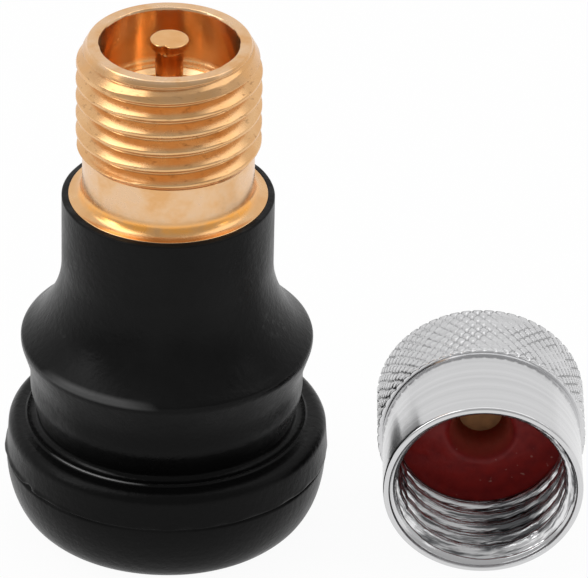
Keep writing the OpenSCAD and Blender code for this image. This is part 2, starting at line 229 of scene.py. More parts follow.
# %% Outline helpers
def arc(centre, radius, start, end, steps):
    """Points on an arc about a centre, from one angle to another in degrees."""
    a = np.radians(np.linspace(start, end, steps))
    return np.column_stack([centre[0] + radius * np.cos(a), centre[1] + radius * np.sin(a)])


def tidy(points):
    """The same line without points that repeat the one before."""
    keep = np.linalg.norm(np.diff(points, axis=0), axis=1) > 1e-6
    return points[np.concatenate([[True], keep])]


def rounded(corners, steps=7, closed=True):
    """Corners of (r, z, rounding): each becomes an arc that is tangent to its two sides. The arc starts at
    rounding over the tangent of half the angle from the corner, and its centre halves that angle."""
    given = np.asarray(corners, float)
    corner, radius = given[:, :2], given[:, 2].copy()
    if not closed:
        radius[[0, -1]] = 0
    back, ahead = np.roll(corner, 1, 0) - corner, np.roll(corner, -1, 0) - corner
    back, ahead = (side / np.linalg.norm(side, axis=1, keepdims=True) for side in (back, ahead))
    half = np.arccos(np.clip((back * ahead).sum(1), -1, 1)) / 2
    start = corner + back * (radius / np.tan(half))[:, None]
    halving = back + ahead
    halving = halving / np.maximum(np.linalg.norm(halving, axis=1, keepdims=True), 1e-9)
    centre = corner + halving * (radius / np.sin(half))[:, None]
    turn = -np.sign(back[:, 0] * ahead[:, 1] - back[:, 1] * ahead[:, 0]) * (math.pi - 2 * half)
    a = turn[:, None] * np.linspace(0, 1, steps)
    arm = start - centre
    points = np.stack([centre[:, :1] + arm[:, :1] * np.cos(a) - arm[:, 1:] * np.sin(a),
                       centre[:, 1:] + arm[:, :1] * np.sin(a) + arm[:, 1:] * np.cos(a)], -1)
    return tidy(points.reshape(-1, 2))


def fill(points, step):
    """The same line with extra points, so that no step is longer than step. Corners stay."""
    gap = np.diff(points, axis=0)
    count = np.maximum(1, np.ceil(np.linalg.norm(gap, axis=1) / step - 1e-9).astype(int))
    first = np.repeat(np.cumsum(count) - count, count)
    share = (np.arange(count.sum()) - first) / np.repeat(count, count)
    inner = np.repeat(points[:-1], count, axis=0) + np.repeat(gap, count, axis=0) * share[:, None]
    return np.vstack([inner, points[-1:]])


square = [(0, 0, 0.1), (1, 0, 0.1), (1, 1, 0.1), (0, 1, 0.1)]
print("a square with rounded corners has", len(rounded(square)), "points")

# %% [markdown]
# ## Turned pieces
# Turning an outline is one numpy product: every outline point times every angle. A Screw modifier would do
# the same for a plain outline, but here the radius may change with the angle, which is what a thread, a
# knurl and a nick are.

# %% From outline to piece
def around(columns):
    """The angles of a turned piece's columns, in radians."""
    return np.linspace(0, 2 * math.pi, columns, endpoint=False)


def spread(line, a):
    """Radius and height of an outline at every angle: two arrays of (outline point, angle)."""
    return np.repeat(line[:, :1], len(a), 1), np.repeat(line[:, 1:], len(a), 1)


def piece_of(name, points, faces):
    """A smooth-shaded mesh object at the origin, from points in millimetres and faces that point outwards."""
    mesh = bpy.data.meshes.new(name)
    mesh.from_pydata(points * MM, [], faces)
    mesh.polygons.foreach_set("use_smooth", np.ones(len(mesh.polygons), bool))
    mesh.update()
    piece = bpy.data.objects.new(name, mesh)
    scene.collection.objects.link(piece)
    mesh.calc_loop_triangles()
    print(f"{name}: {len(mesh.vertices)} points, {len(mesh.loop_triangles)} triangles")
    return piece


def turned(name, r, z, closed, place=None):
    """A mesh from radius r and height z, both arrays of (outline point, angle), in millimetres. A point is
    (r cos a, r sin a, z). A closed outline joins its end to its start, and an open one ends on the axis."""
    rows, columns = r.shape
    a = around(columns)
    points = np.stack([r * np.cos(a), r * np.sin(a), z], -1).reshape(-1, 3)
    i, j = np.arange(rows if closed else rows - 1)[:, None], np.arange(columns)
    up, right = (i + 1) % rows, (j + 1) % columns
    quads = np.stack([i * columns + j, i * columns + right, up * columns + right, up * columns + j], -1)
    faces = quads.reshape(-1, 4).tolist()
    if not closed:
        poles = [[0, 0, float(np.mean(z[0]))], [0, 0, float(np.mean(z[-1]))]]
        foot, top = len(points), len(points) + 1
        last = (rows - 1) * columns
        points = np.vstack([points, poles])
        faces += np.column_stack([np.full(columns, foot), right, j]).tolist()
        faces += np.column_stack([np.full(columns, top), last + j, last + right]).tolist()
    if place is not None:
        points = points @ place[:3, :3].T + place[:3, 3]
    return piece_of(name, points, faces)


def stands_for(piece, node, body, material):
    """Gives a piece its finish and the body that it rides on, and hides the solid that it stands for."""
    piece.data.materials.append(material)
    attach(piece, body)
    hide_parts(node)
    print(piece.name, "stands for", node, "on the body", body, "in", material.name)


# %% Curves for marks
def ripple(a, seed, low=1, high=9):
    """A smooth wave round a piece: the mean of seven sines of whole numbers of waves, from about -1 to 1."""
    count = 7
    rng = np.random.default_rng(seed)
    n = rng.integers(low, high + 1, count)
    phase = rng.uniform(0, 2 * math.pi, count)
    return np.sin(n[:, None] * a[None, :] + phase[:, None]).mean(0) * 1.6


def bell(x, middle, width):
    """A bell curve: 1 at the middle, and e to the minus square of the distance over the width."""
    return np.exp(-((x - middle) / width) ** 2)


def near(a, degrees, width):
    """The same bell round one angle, with the angle and the width in degrees."""
    return bell(np.angle(np.exp(1j * (a - math.radians(degrees)))), 0.0, math.radians(width))


def ramp(x, start, end):
    """0 at the start, 1 at the end, straight between and level beyond. The end may lie below the start."""
    return np.clip((x - start) / (end - start), 0, 1)


wave = ripple(around(360), 3)
print("a ripple runs from", np.round(wave.min(), 2), "to", np.round(wave.max(), 2))

# %% [markdown]
# ## Moulded rubber body
# The body is EPDM rubber moulded on the brass stem: a domed head, the mould's parting line, a flange, a
# relief groove behind a thin lip, the neck that the wheel rim grips, the bulge that snaps through, and a
# hollow flare up to the sleeve. Corners with large roundings and one arc that touches the bulge give the
# outline. Sculpting could give the mould's marks, but as functions of the angle they stay small, exact and
# easy to move.

# %% Sizes of the rubber
neck_r, flange_r, flange_foot_r, dome_r = 5.75, 6.74, 6.84, 6.77
dome_h, dome_inset, z_flange = 3.08, 1.58, 4.72
lip_r, lip_h, groove_r, neck_len = 5.9, 0.05, 0.46, 2.28
bulge_r, bulge_round, sleeve_r, flare_round = 6.15, 0.55, 4.44, 4.5
air_hole_r, air_hole_flare = 1.8, 0.6
z_neck = z_flange + 2 * groove_r
z_neck_top = z_neck + neck_len
bulge_mid = bulge_r - bulge_round
bulge_foot = math.acos((neck_r - bulge_mid) / bulge_round)
z_bulge = z_neck_top + bulge_round * math.sin(bulge_foot)
flare_mid = sleeve_r + flare_round
flare_angle = math.acos((flare_mid - bulge_mid) / (flare_round + bulge_round))
z_flare = z_bulge + (flare_round + bulge_round) * math.sin(flare_angle)
z_top = heights("rubber_body")[1]
print("top of the sleeve", round(z_top, 3), "mm, flare ends at", round(z_flare, 3))

# %% Sizes of the stem inside the rubber
collar_r, collar_h, shank_r, foot_r, foot_h = 4.15, 0.9, 3.3, 4.2, 1.5
rib_r, rib_w, rib_reach, rib_space = 3.72, 0.6, 0.42, 1.35
z_foot = heights("brass_stem")[0]
z_collar = z_top - collar_h
shank_low, shank_high = z_foot + foot_h + foot_r - shank_r, z_collar - collar_r + shank_r
spaces = int((shank_high - shank_low) / rib_space)
rib_z = shank_low + (shank_high - shank_low) * np.arange(1, spaces) / spaces
rib_half = rib_w / 2
rib = np.array([(shank_r, -rib_half - rib_reach), (rib_r, -rib_half), (rib_r, rib_half), (shank_r, rib_half)])
ribs = (rib[None] + np.column_stack([np.zeros_like(rib_z), rib_z])[:, None]).reshape(-1, 2)
embedded = np.vstack([[(foot_r, z_foot), (foot_r, z_foot + foot_h), (shank_r, shank_low)], ribs,
                      [(shank_r, shank_high), (collar_r, z_collar), (collar_r, z_top)]])
print("ribs on the shank at", np.round(rib_z, 2))

# %% Outline of the rubber
flash_h, flange_sunk, groove_sunk = 0.07, 0.02, 0.25
dome_a = np.radians(np.linspace(0, 90, 40))
dome = np.column_stack([dome_r - dome_inset + dome_inset * np.sin(dome_a), dome_h - dome_h * np.cos(dome_a)])
flare = arc((flare_mid, z_flare), flare_round, 180 + math.degrees(flare_angle), 180, 50)
flange = rounded([(dome_r, dome_h, 0),
                  (flange_foot_r, dome_h + flash_h, 0.03),
                  (flange_r, z_flange - flange_sunk, 0.5),
                  (lip_r + 0.08, z_flange - flange_sunk, 0.04),
                  (lip_r, z_flange + lip_h, 0.03),
                  (neck_r - groove_r, z_flange - groove_sunk, 0.25),
                  (neck_r, z_neck + 0.5, 2.0),
                  (neck_r, z_neck_top - 0.75, 2.6),
                  (bulge_r, z_bulge - 0.03, 0.75),
                  (bulge_r, z_bulge + 0.24, 0.24),
                  (*flare[0], 0)], steps=14, closed=False)
sleeve = rounded([(sleeve_r, z_flare, 0), (sleeve_r, z_top, 0.09), (collar_r, z_top, 0)], closed=False)
outside = np.vstack([fill(dome, 0.1), fill(flange, 0.06), flare, fill(sleeve, 0.1)])
air_hole = np.array([(air_hole_r, z_foot), (air_hole_r, air_hole_flare), (air_hole_r + air_hole_flare, 0.0)])
inside = np.vstack([fill(embedded[::-1], 0.6), fill(air_hole, 0.4)])
body_line = tidy(np.vstack([outside, inside]))
print("rubber outline of", len(body_line), "points")

# %% Moulded body
# The parting line is a crevice that gapes at three places, under a thin uneven flash with one torn notch.
# At the left the wall above it is drawn in, so that the flash stands out. The sleeve's edge was trimmed and
# is uneven.
BODY_COLUMNS, SKIN_R, BOX_MARGIN = 232, 4.3, 0.002
sway_depth, crevice_depth, flash_size, torn_depth = 0.012, 0.15, 0.035, 0.25
drawn_depth, trim_depth, shrinkage = 0.09, 0.03, 0.006
a = around(BODY_COLUMNS)
r, z = spread(body_line, a)
outer = (r > SKIN_R) & (z > 0.05)
sway = sway_depth * np.sin(1.1 * z + 2 * ripple(a, 3)) * ripple(a, 4)
gaping = 0.2 + 1.1 * near(a, -35, 30) + 0.9 * near(a, -140, 22) + 0.6 * near(a, 100, 60)
crevice = -crevice_depth * gaping * bell(z, dome_h, 0.05)
flash = flash_size * np.clip(ripple(a, 5, low=3, high=40), -1, 1) - torn_depth * near(a, -147, 1.6)
flash = flash * bell(z, dome_h + 0.09, 0.06)
drawn_in = -drawn_depth * near(a, 185, 38) * ramp(z, dome_h + 0.1, dome_h + 0.22)
drawn_in = drawn_in * ramp(r, flange_r - 0.54, flange_r - 0.14)
r = np.minimum(r + outer * (sway + crevice + flash + drawn_in - shrinkage), flange_foot_r - BOX_MARGIN)
trimmed = bell(z, z_top, 0.06) * (r > collar_r + 0.02)
z = z - trim_depth * trimmed * (1 + ripple(a, 6, low=2, high=24))
moulded_body = turned("moulded_body", r, z, closed=True)

# %% [markdown]
# ## EPDM rubber
# Carbon-black EPDM from a steel mould is nearly black with a satin skin: almost no colour of its own, a
# soft broad shine, brighter where the light grazes it. Sheen gives that grazing light, and a low specular
# level keeps the middle dark. The skin carries a little bloom and its sleeve is scuffed at the sides. Light
# and shade are painted in as well: a painted sheen on the sides of the neck, a painted highlight on the pale
# edges at the left front, and painted shade on the darker lower body. All of it follows noise at real
# sizes, masked by height and side, so that no image texture is needed.

# %% A mask by height
def between_heights(tree, height, low, high, soft):
    """1 where a height lies between two others in millimetres, falling to 0 within soft millimetres."""
    above = add(tree, "MapRange", {"Value": height, "From Min": (low - soft) * MM, "From Max": low * MM})
    below = add(tree, "MapRange", {"Value": height, "From Min": (high + soft) * MM, "From Max": high * MM})
    return add(tree, "Math", {0: above[0], 1: below[0]}, operation="MULTIPLY")[0]


bulge_highlight_band = (z_bulge + 0.16, z_bulge + 0.34)
print("the bulge is rubbed between", np.round(bulge_highlight_band, 2), "mm")

# %% Rubber: bloom, scuffs and painted sheen
# Black with a grey haze: the bloom changes the tone over 2.4 mm, and scuffs break up over grains of 0.28
# mm. The grain of the real skin is finer and would not show.
bloom_size, grain_size = 2.4 * MM, 0.28 * MM
rubber, tree, shader, place = new_material("moulded_epdm_rubber")
bloom = add(tree, "TexNoise", {"Vector": place, "Scale": 1 / bloom_size, "Detail": 3.0,
                               "Roughness": 0.55})[0]
grain = add(tree, "TexNoise", {"Vector": place, "Scale": 1 / grain_size, "Detail": 4.0,
                               "Roughness": 0.6})[0]
tone = add(tree, "ValToRGB", {"Fac": bloom}, stops=((0.3, "#0D0D0D"), (0.75, "#151515")))[0]
height = add(tree, "SeparateXYZ", {0: place})["Z"]
# Below the bulge the tone is painted darker: painted shade on the lower body near the table.
painted_shade_low = between_heights(tree, height, -1.0, z_bulge, 0.3)
colour = add(tree, "Mix", {0: painted_shade_low, 6: tone, 7: linear("#080808")}, data_type="RGBA")[2]
# The left and right sides as the camera sees them: scuffs on the sleeve, and a painted sheen on the neck.
across = add(tree, "Mapping", {"Vector": place, "Scale": (1.0, 1.0, 0.0)})[0]
outwards = add(tree, "VectorMath", {0: across}, operation="NORMALIZE")[0]
sideways = add(tree, "SeparateXYZ", {0: outwards})["X"]
sideways = add(tree, "Math", {0: sideways}, operation="ABSOLUTE")[0]
scuff_and_sheen_sides = add(tree, "MapRange", {"Value": sideways, "From Min": 0.62, "From Max": 0.95})[0]
scratch = add(tree, "MapRange", {"Value": grain, "From Min": 0.54, "From Max": 0.66})[0]
patch = add(tree, "MapRange", {"Value": bloom, "From Min": 0.5, "From Max": 0.6})[0]
scratch = add(tree, "Math", {0: scratch, 1: patch}, operation="MULTIPLY")[0]
# On the neck the grey blotches are a painted sheen for the light that grazes its sides.
neck_side_sheen = add(tree, "MapRange", {"Value": grain, "From Min": 0.4, "From Max": 0.6, "To Min": 0.3})[0]
on_sleeve = between_heights(tree, height, z_bulge + 1.5, z_top - 0.8, 0.5)
on_neck = between_heights(tree, height, z_neck, z_bulge - 0.1, 0.4)
for mark, stretch, grey in ((scratch, on_sleeve, "#323232"), (neck_side_sheen, on_neck, "#303030")):
    mark = add(tree, "Math", {0: mark, 1: scuff_and_sheen_sides}, operation="MULTIPLY")[0]
    mark = add(tree, "Math", {0: mark, 1: stretch}, operation="MULTIPLY")[0]
    colour = add(tree, "Mix", {0: mark, 6: colour, 7: linear(grey)}, data_type="RGBA")[2]
print("bloom over", round(bloom_size / MM, 2), "mm, grain over", round(grain_size / MM, 2), "mm")

# %% Rubber: edges painted pale
# At the left front, on the side of the left lamps, the bulge's edge and the lip are painted as thin pale
# lines: a painted highlight.
lamp_side, highlight_from, highlight_full = (-0.5, -0.866, 0.0), 5.4 * MM, 5.95 * MM
bulge_edge = between_heights(tree, height, *bulge_highlight_band, 0.12)
lip_edge = between_heights(tree, height, z_flange + 0.02, z_flange + 0.07, 0.01)
edges = add(tree, "Math", {0: bulge_edge, 1: lip_edge}, operation="MAXIMUM")[0]
left_front = add(tree, "VectorMath", {0: place, 1: lamp_side}, operation="DOT_PRODUCT")["Value"]
painted_light_and_wear_mask = add(tree, "MapRange", {"Value": left_front, "From Min": highlight_from, "From Max": highlight_full})[0]
for edge, painted_light_and_wear_colour in ((bulge_edge, "#4C4C4C"), (lip_edge, "#8C8C8C")):
    painted_light_and_wear = add(tree, "Math", {0: edge, 1: painted_light_and_wear_mask}, operation="MULTIPLY")[0]
    colour = add(tree, "Mix", {0: painted_light_and_wear, 6: colour, 7: linear(painted_light_and_wear_colour)}, data_type="RGBA")[2]
print("edges worn most towards", lamp_side)

# %% Rubber: the skin
# The satin is uneven with the bloom and glossier on the edges, and the grain is a bump of 0.03 mm at most.
skin = add(tree, "MapRange", {"Value": bloom, "From Min": 0.3, "From Max": 0.7,
                              "To Min": 0.24, "To Max": 0.38})[0]
skin = add(tree, "Math", {0: edges, 1: -0.08, 2: skin}, operation="MULTIPLY_ADD")[0]
bump = add(tree, "Bump", {"Height": grain, "Strength": 0.7, "Distance": 0.03 * MM})[0]
tree.links.new(colour, shader.inputs["Base Color"])
tree.links.new(skin, shader.inputs["Roughness"])
tree.links.new(bump, shader.inputs["Normal"])
shader.inputs["Specular IOR Level"].default_value = 0.09
shader.inputs["Sheen Weight"].default_value = 0.06
shader.inputs["Sheen Roughness"].default_value = 0.3
stands_for(moulded_body, "rubber_body", "valve", rubber)

# %% [markdown]
# ## Threaded brass stem
# The stem is turned from brass bar. Its cap thread has 32 threads to the inch, so one turn climbs 0.794 mm,
# and a thread is a height that depends on z / pitch minus the angle in turns. That makes the helix without
# modelling one: the grid stays a plain grid, and only its radius follows the phase. The thread runs out on
# the neck and into the bevel at the rim. A Screw modifier would need its ends closed by hand there.

# %% Thread helper
CAP_PITCH = 25.4 / 32


def thread(z, a, start):
    """How deep the right-hand cap thread cuts, from 0 on its crest to 1 in its root. The phase is z / pitch -
    angle in turns + start, and a triangle wave of it is cut flat on the crest and in the root."""
    crest_flat, flank = 0.14, 0.81
    phase = (z / CAP_PITCH - a / (2 * math.pi) + start) % 1.0
    return np.clip((np.abs(2 * phase - 1) - crest_flat) / flank, 0, 1)


print("pitch of the cap thread", round(CAP_PITCH, 3), "mm")

# %% Outline of the stem
cap_thread_r, stem_neck_r, rim_r, mouth_r, core_bore_r = 3.85, 3.58, 3.38, 2.88, 2.65
bevel_h, thread_len, mouth_depth, run_in = 0.86, 3.85, 2.25, 0.55
chamber_r, tail_r, tail_floor = 1.95, 1.5, 1.0
z_taper_foot, z_taper_top = 14.22, 15.12
z_rim = heights("brass_stem")[1]
z_bevel = z_rim - bevel_h
z_thread = z_bevel - thread_len
z_mouth = z_rim - mouth_depth
z_plug_foot, z_plug = heights("core_plug")
mouth_edge = (mouth_r, z_rim - 0.1, 0)
neck_end = (stem_neck_r, z_thread - run_in, 0)
neck_part = rounded([(collar_r, z_top, 0), (collar_r - 0.04, z_top + 0.01, 0.03), (stem_neck_r, z_top, 0.5),
                     neck_end], steps=14, closed=False)
thread_part = rounded([neck_end, (stem_neck_r, z_thread - 0.27, 0.15), (cap_thread_r, z_thread, 0.12),
                       (cap_thread_r, z_bevel, 0.9), (rim_r, z_rim, 0.1), (mouth_r + 0.06, z_rim, 0.07),
                       mouth_edge], steps=14, closed=False)
mouth_part = rounded([mouth_edge, (mouth_r, z_mouth, 0.3), (core_bore_r + 0.02, z_plug - 0.1, 0)],
                     closed=False)
bore_part = np.array([(core_bore_r, z_plug - 0.15), (core_bore_r, z_taper_top), (chamber_r, z_taper_foot),
                      (chamber_r, z_foot + tail_floor), (tail_r, z_foot + tail_floor), (tail_r, z_foot)])
stem_line = tidy(np.vstack([fill(embedded, 0.8), fill(neck_part, 0.1), fill(thread_part, 0.032),
                            fill(mouth_part, 0.05), fill(bore_part, 0.8)]))
print("stem outline of", len(stem_line), "points, thread from", round(z_thread, 2), "to", round(z_bevel, 2))

# %% Threaded stem
# Rings 0.2 mm apart are left by the reamer in the mouth, and the rim's inner edge has a slight burr.
THREAD_DEPTH, THREAD_START, STEM_COLUMNS = 0.45, 0.7, 252
ream_depth, ream_space, burr_size = 0.006, 0.2, 0.025
a = around(STEM_COLUMNS)
r, z = spread(stem_line, a)
cut = cap_thread_r - THREAD_DEPTH * thread(z, a, THREAD_START)
run_out = 0.3 * ramp(z, z_thread + 0.1, z_thread - 0.4)
on_thread = (r > rim_r - 0.08) & (z > z_thread - 0.5) & (z < z_rim - 0.15)
r = np.where(on_thread, np.minimum(r, cut + run_out), r)
reamed = (r > core_bore_r - 0.05) & (r < mouth_r - 0.03) & (z > z_plug - 0.1)
tool_marks = ream_depth * np.sin(2 * math.pi * z / ream_space) * reamed
burr = burr_size * np.clip(ripple(a, 8, low=5, high=30), 0, 1) * bell(z, z_rim - 0.03, 0.05)
burr = burr * (r < mouth_r + 0.12)
threaded_stem = turned("threaded_stem", r + tool_marks - burr, z, closed=True)

# %% [markdown]
# ## Turned brass
# Freshly turned brass is a clean metal: its colour is its reflection, pale where it mirrors the white table
# and deep orange where light has bounced twice, as in the mouth. The tool leaves fine rings round the axis.
# They are too fine to model, so a slight bump follows z, and an anisotropic shine draws each highlight out
# along the axis, as the rings do. Handling leaves faint tarnish in patches, small stains in the thread and
# stretches that are rubbed paler. Some light is painted in: the collar's fillet is painted deep orange for
# the light that bounces twice there, and the mouth and the plug are painted paler so that they read lit
# deep in the stem.

# %% Turned brass finish
def turned_brass(name, light, warm, rough, drawn, painted_light_and_wear=(), specks=0.0):
    """Brass off the lathe: two near colours by tarnish noise, with rings along z. The real rings are too fine
    to show, so they are 0.06 mm apart here. Drawn, from 0 to 1, is how far they draw a highlight out along
    the axis. painted_light_and_wear gives stretches of z in millimetres, as (low, high, colour), that
    handling has worn, and stretches where light is painted in. Specks is how dark the small stains in the
    thread are."""
    tarnish_size, stain_size, ring_space = 1.3 * MM, 0.11 * MM, 0.06 * MM
    material, tree, shader, place = new_material(name)
    tarnish = add(tree, "TexNoise", {"Vector": place, "Scale": 1 / tarnish_size, "Detail": 5.0,
                                     "Roughness": 0.6})[0]
    colour = add(tree, "ValToRGB", {"Fac": tarnish}, stops=((0.35, warm), (0.65, light)))[0]
    height = add(tree, "SeparateXYZ", {0: place})["Z"]
    uneven = add(tree, "MapRange", {"Value": tarnish, "From Min": 0.35, "From Max": 0.6})[0]
    for low, high, painted_light_and_wear_colour in painted_light_and_wear:
        painted_light_and_wear_mask = between_heights(tree, height, low, high, 0.15)
        painted_light_and_wear_mask = add(tree, "Math", {0: painted_light_and_wear_mask, 1: uneven}, operation="MULTIPLY")[0]
        colour = add(tree, "Mix", {0: painted_light_and_wear_mask, 6: colour, 7: linear(painted_light_and_wear_colour)}, data_type="RGBA")[2]
    # A pattern that is squeezed across the axis comes out stretched round the piece, the way the tool ran
    long_way = add(tree, "Mapping", {"Vector": place, "Scale": (0.3, 0.3, 1.0)})[0]
    stain = add(tree, "TexNoise", {"Vector": long_way, "Scale": 1 / stain_size, "Detail": 3.0})[0]
    stain = add(tree, "MapRange", {"Value": stain, "From Min": 0.6, "From Max": 0.75,
                                   "To Max": specks})[0]
    in_thread = between_heights(tree, height, z_thread - 0.1, z_bevel + 0.3, 0.2)
    stain = add(tree, "Math", {0: stain, 1: in_thread}, operation="MULTIPLY")[0]
    colour = add(tree, "Mix", {0: stain, 6: colour, 7: linear("#6E4520")}, data_type="RGBA")[2]
    ring_way = add(tree, "Mapping", {"Vector": place, "Scale": (0.05, 0.05, 1.0)})[0]
    rings = add(tree, "TexNoise", {"Vector": ring_way, "Scale": 1 / ring_space, "Detail": 2.0})[0]
    bump = add(tree, "Bump", {"Height": rings, "Strength": 0.4, "Distance": 0.006 * MM})[0]
    gloss = add(tree, "MapRange", {"Value": tarnish, "From Min": 0.3, "From Max": 0.7, "To Min": rough,
                                   "To Max": rough + 0.12})[0]
    round_axis = add(tree, "VectorMath", {0: (0, 0, 1), 1: place}, operation="CROSS_PRODUCT")[0]
    tree.links.new(colour, shader.inputs["Base Color"])
    tree.links.new(gloss, shader.inputs["Roughness"])
    tree.links.new(bump, shader.inputs["Normal"])
    tree.links.new(round_axis, shader.inputs["Tangent"])
    shader.inputs["Anisotropic"].default_value = drawn
    shader.inputs["Anisotropic Rotation"].default_value = 0.25
    shader.inputs["Metallic"].default_value = 1.0
    return material


# %% The brasses
# The stem is pale and stained, and its collar fillet is painted deep orange: painted light for a second
# bounce. The plug is painted paler, the pin a little deeper, and the reamed mouth is a paler copy of the
# stem's brass, painted lighter so that it reads lit deep in the stem, with long streaks, which its rings
# draw out.
# The deep orange stretch above the collar is painted light, for light that bounces twice in the fillet.
wear_and_painted_light_parts = [(z_top + 0.7, z_thread - 0.35, "#E9C39C"), (z_rim - 0.06, z_rim + 0.05, "#E9C39C"),
                (z_top + 0.22, z_top + 0.4, "#FFB45A"), (z_bevel + 0.2, z_rim - 0.2, "#D6A878")]
brass = turned_brass("turned_brass", "#EABD8A", "#E2AE76", 0.18, 0.4, wear_and_painted_light_parts, specks=0.45)
core_brass = turned_brass("core_brass", "#EDC394", "#E4B37C", 0.16, 0.0)
pin_brass = turned_brass("pin_brass", "#EDBC84", "#E6AC6C", 0.16, 0.0)
reamed_brass_painted_paler = turned_brass("reamed_brass_painted_paler", "#FACD96", "#F6C286", 0.16, 0.85)
stands_for(threaded_stem, "brass_stem", "valve", brass)

# %% Which faces of the stem are reamed
threaded_stem.data.materials.append(reamed_brass_painted_paler)
in_mouth = np.flatnonzero((stem_line[:, 0] < mouth_r + 0.01) & (stem_line[:, 1] > z_thread))
which = np.zeros(len(threaded_stem.data.polygons), np.int32)
which[in_mouth[0] * STEM_COLUMNS:in_mouth[-1] * STEM_COLUMNS] = 1
threaded_stem.data.polygons.foreach_set("material_index", which)
print("faces of the reamed mouth:", int(which.sum()))

# %% [markdown]
# ## Plug of the valve core
# The core is a small machine of its own: a threaded plug, a pin through it for the chuck to press, a barrel
# with the spring inside, and a rubber washer that shuts the barrel from below. The plug has two flats for
# the core key. A Boolean could cut them, but limiting the radius is exact: along a flat, r is half the
# width over the cosine.

# %% Plug
PLUG_COLUMNS = 160
plug_r, plug_bore_r, flat, flat_h = 2.6, 0.95, 1.8, 1.6
crimp_r, crimp_t, socket_r, socket_h, recess = 1.58, 0.25, 1.98, 0.56, 0.18
z_flats = z_plug - flat_h
z_crimp = z_plug_foot + crimp_t
z_socket = z_crimp + socket_h
plug_line = fill(rounded([(crimp_r, z_plug_foot, 0), (plug_r, z_plug_foot, 0.1), (plug_r, z_flats, 0),
                          (plug_r, z_flats + 0.01, 0), (plug_r, z_plug, 0.06), (plug_r - 0.08, z_plug, 0.03),
                          (plug_r - 0.36, z_plug - recess, 0.08), (plug_bore_r + 0.2, z_plug - recess, 0.04),
                          (plug_bore_r, z_plug - 2 * recess, 0), (plug_bore_r, z_socket, 0),
                          (socket_r, z_socket, 0), (socket_r, z_crimp, 0), (crimp_r, z_crimp, 0)]), 0.12)
a = around(PLUG_COLUMNS)
r, z = spread(plug_line, a)
wall_r = plug_bore_r + 0.02
limit = np.maximum(flat / np.maximum(np.abs(np.cos(a)), 1e-3), wall_r)
r = np.where((z > z_flats + 0.005) & (r > wall_r), np.minimum(r, limit), r)
cut_plug = turned("cut_plug", r, z, closed=True)
stands_for(cut_plug, "core_plug", "valve", core_brass)

# %% [markdown]
# ## Pin
# The pin's head was flattened by a blow, which left its edge uneven with a nick at the front. The nick is a
# dip of the radius near one angle, a bell curve in the angle that fades below the head. A Boolean would cut
# it sharper than a blow does.

# %% Pin
PIN_COLUMNS = 128
nick_at, nick_width, nick_depth, unevenness = -106, math.degrees(0.2), 0.2, 0.015
head_r, head_h, top_r, shaft_r, rivet_r, rivet_h, pole_r = 0.81, 0.34, 0.58, 0.5, 0.8, 0.3, 0.05
z_pin_foot, z_pin = heights("core_pin")
z_collar_top = heights("spring_collar")[1]
z_rivet = z_pin_foot + rivet_h
pin_line = fill(rounded([(pole_r, z_pin_foot, 0), (rivet_r, z_pin_foot, 0.1), (rivet_r, z_rivet, 0),
                         (shaft_r, z_rivet, 0), (shaft_r, z_collar_top, 0), (top_r, z_collar_top, 0),
                         (top_r, z_pin - 0.5, 0.08), (head_r, z_pin - head_h, 0.05), (head_r, z_pin, 0.06),
                         (pole_r, z_pin, 0)], closed=False), 0.08)
a = around(PIN_COLUMNS)
r, z = spread(pin_line, a)
in_head = ramp(z, z_pin - 0.55, z_pin - 0.4) * ramp(r, shaft_r - 0.2, shaft_r + 0.1)
dent = nick_depth * near(a, nick_at, nick_width) + unevenness * ripple(a, 11) + unevenness
r = r * (1 - in_head * dent)
nicked_pin = turned("nicked_pin", r, z, closed=False)
stands_for(nicked_pin, "core_pin", "pin", pin_brass)

# %% [markdown]
# ## Spring
# The spring is a round wire carried along a helix. It is the one piece that changes shape: when the pin
# goes down by 1.2 mm, the spring closes from 4.0 to 2.8 mm, so it squashes to 0.7 of its height towards the
# ledge that it sits on. A bevelled curve could make it too, but as one grid it is a mesh from the start.

# %% Spring
wire_r, coil_r, turns = 0.12, 0.775, 7
STEPS_A_TURN, WIRE_COLUMNS = 40, 14
# Each ring of the wire stands upright on the helix: its points reach out by coil_r plus wire_r times the
# cosine, and lie above the climb of the helix by wire_r times the sine.
spring_low, spring_high = heights("core_spring")
t = np.linspace(0, 1, turns * STEPS_A_TURN + 1)[:, None]
across_wire = around(WIRE_COLUMNS)[None, :]
swing = 2 * math.pi * turns * t
reach_r = coil_r + wire_r * np.cos(across_wire)
climb = spring_low + wire_r + (spring_high - spring_low - 2 * wire_r) * t
wire = np.stack([reach_r * np.cos(swing), reach_r * np.sin(swing), climb + wire_r * np.sin(across_wire)], -1)
rows, columns = wire.shape[:2]
i, j = np.arange(rows - 1)[:, None], np.arange(columns)
right = (j + 1) % columns
quads = np.stack([i * columns + j, (i + 1) * columns + j, (i + 1) * columns + right, i * columns + right], -1)
ends = [list(range(columns)), list(range(rows * columns - 1, (rows - 1) * columns - 1, -1))]
coil_spring = piece_of("coil_spring", wire.reshape(-1, 3), quads.reshape(-1, 4).tolist() + ends)

# %% Spring steel finish
# Drawn wire is a plain grey metal whose shine comes and goes in short streaks.
streak_size = 0.3 * MM
spring_steel, tree, shader, place = new_material("drawn_spring_steel")
streak = add(tree, "TexNoise", {"Vector": place, "Scale": 1 / streak_size, "Detail": 2.0})[0]
gloss = add(tree, "MapRange", {"Value": streak, "To Min": 0.2, "To Max": 0.42})[0]
tree.links.new(gloss, shader.inputs["Roughness"])
shader.inputs["Base Color"].default_value = linear("#B4B8BC")
shader.inputs["Metallic"].default_value = 1.0
stands_for(coil_spring, "core_spring", "valve", spring_steel)
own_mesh(coil_spring)

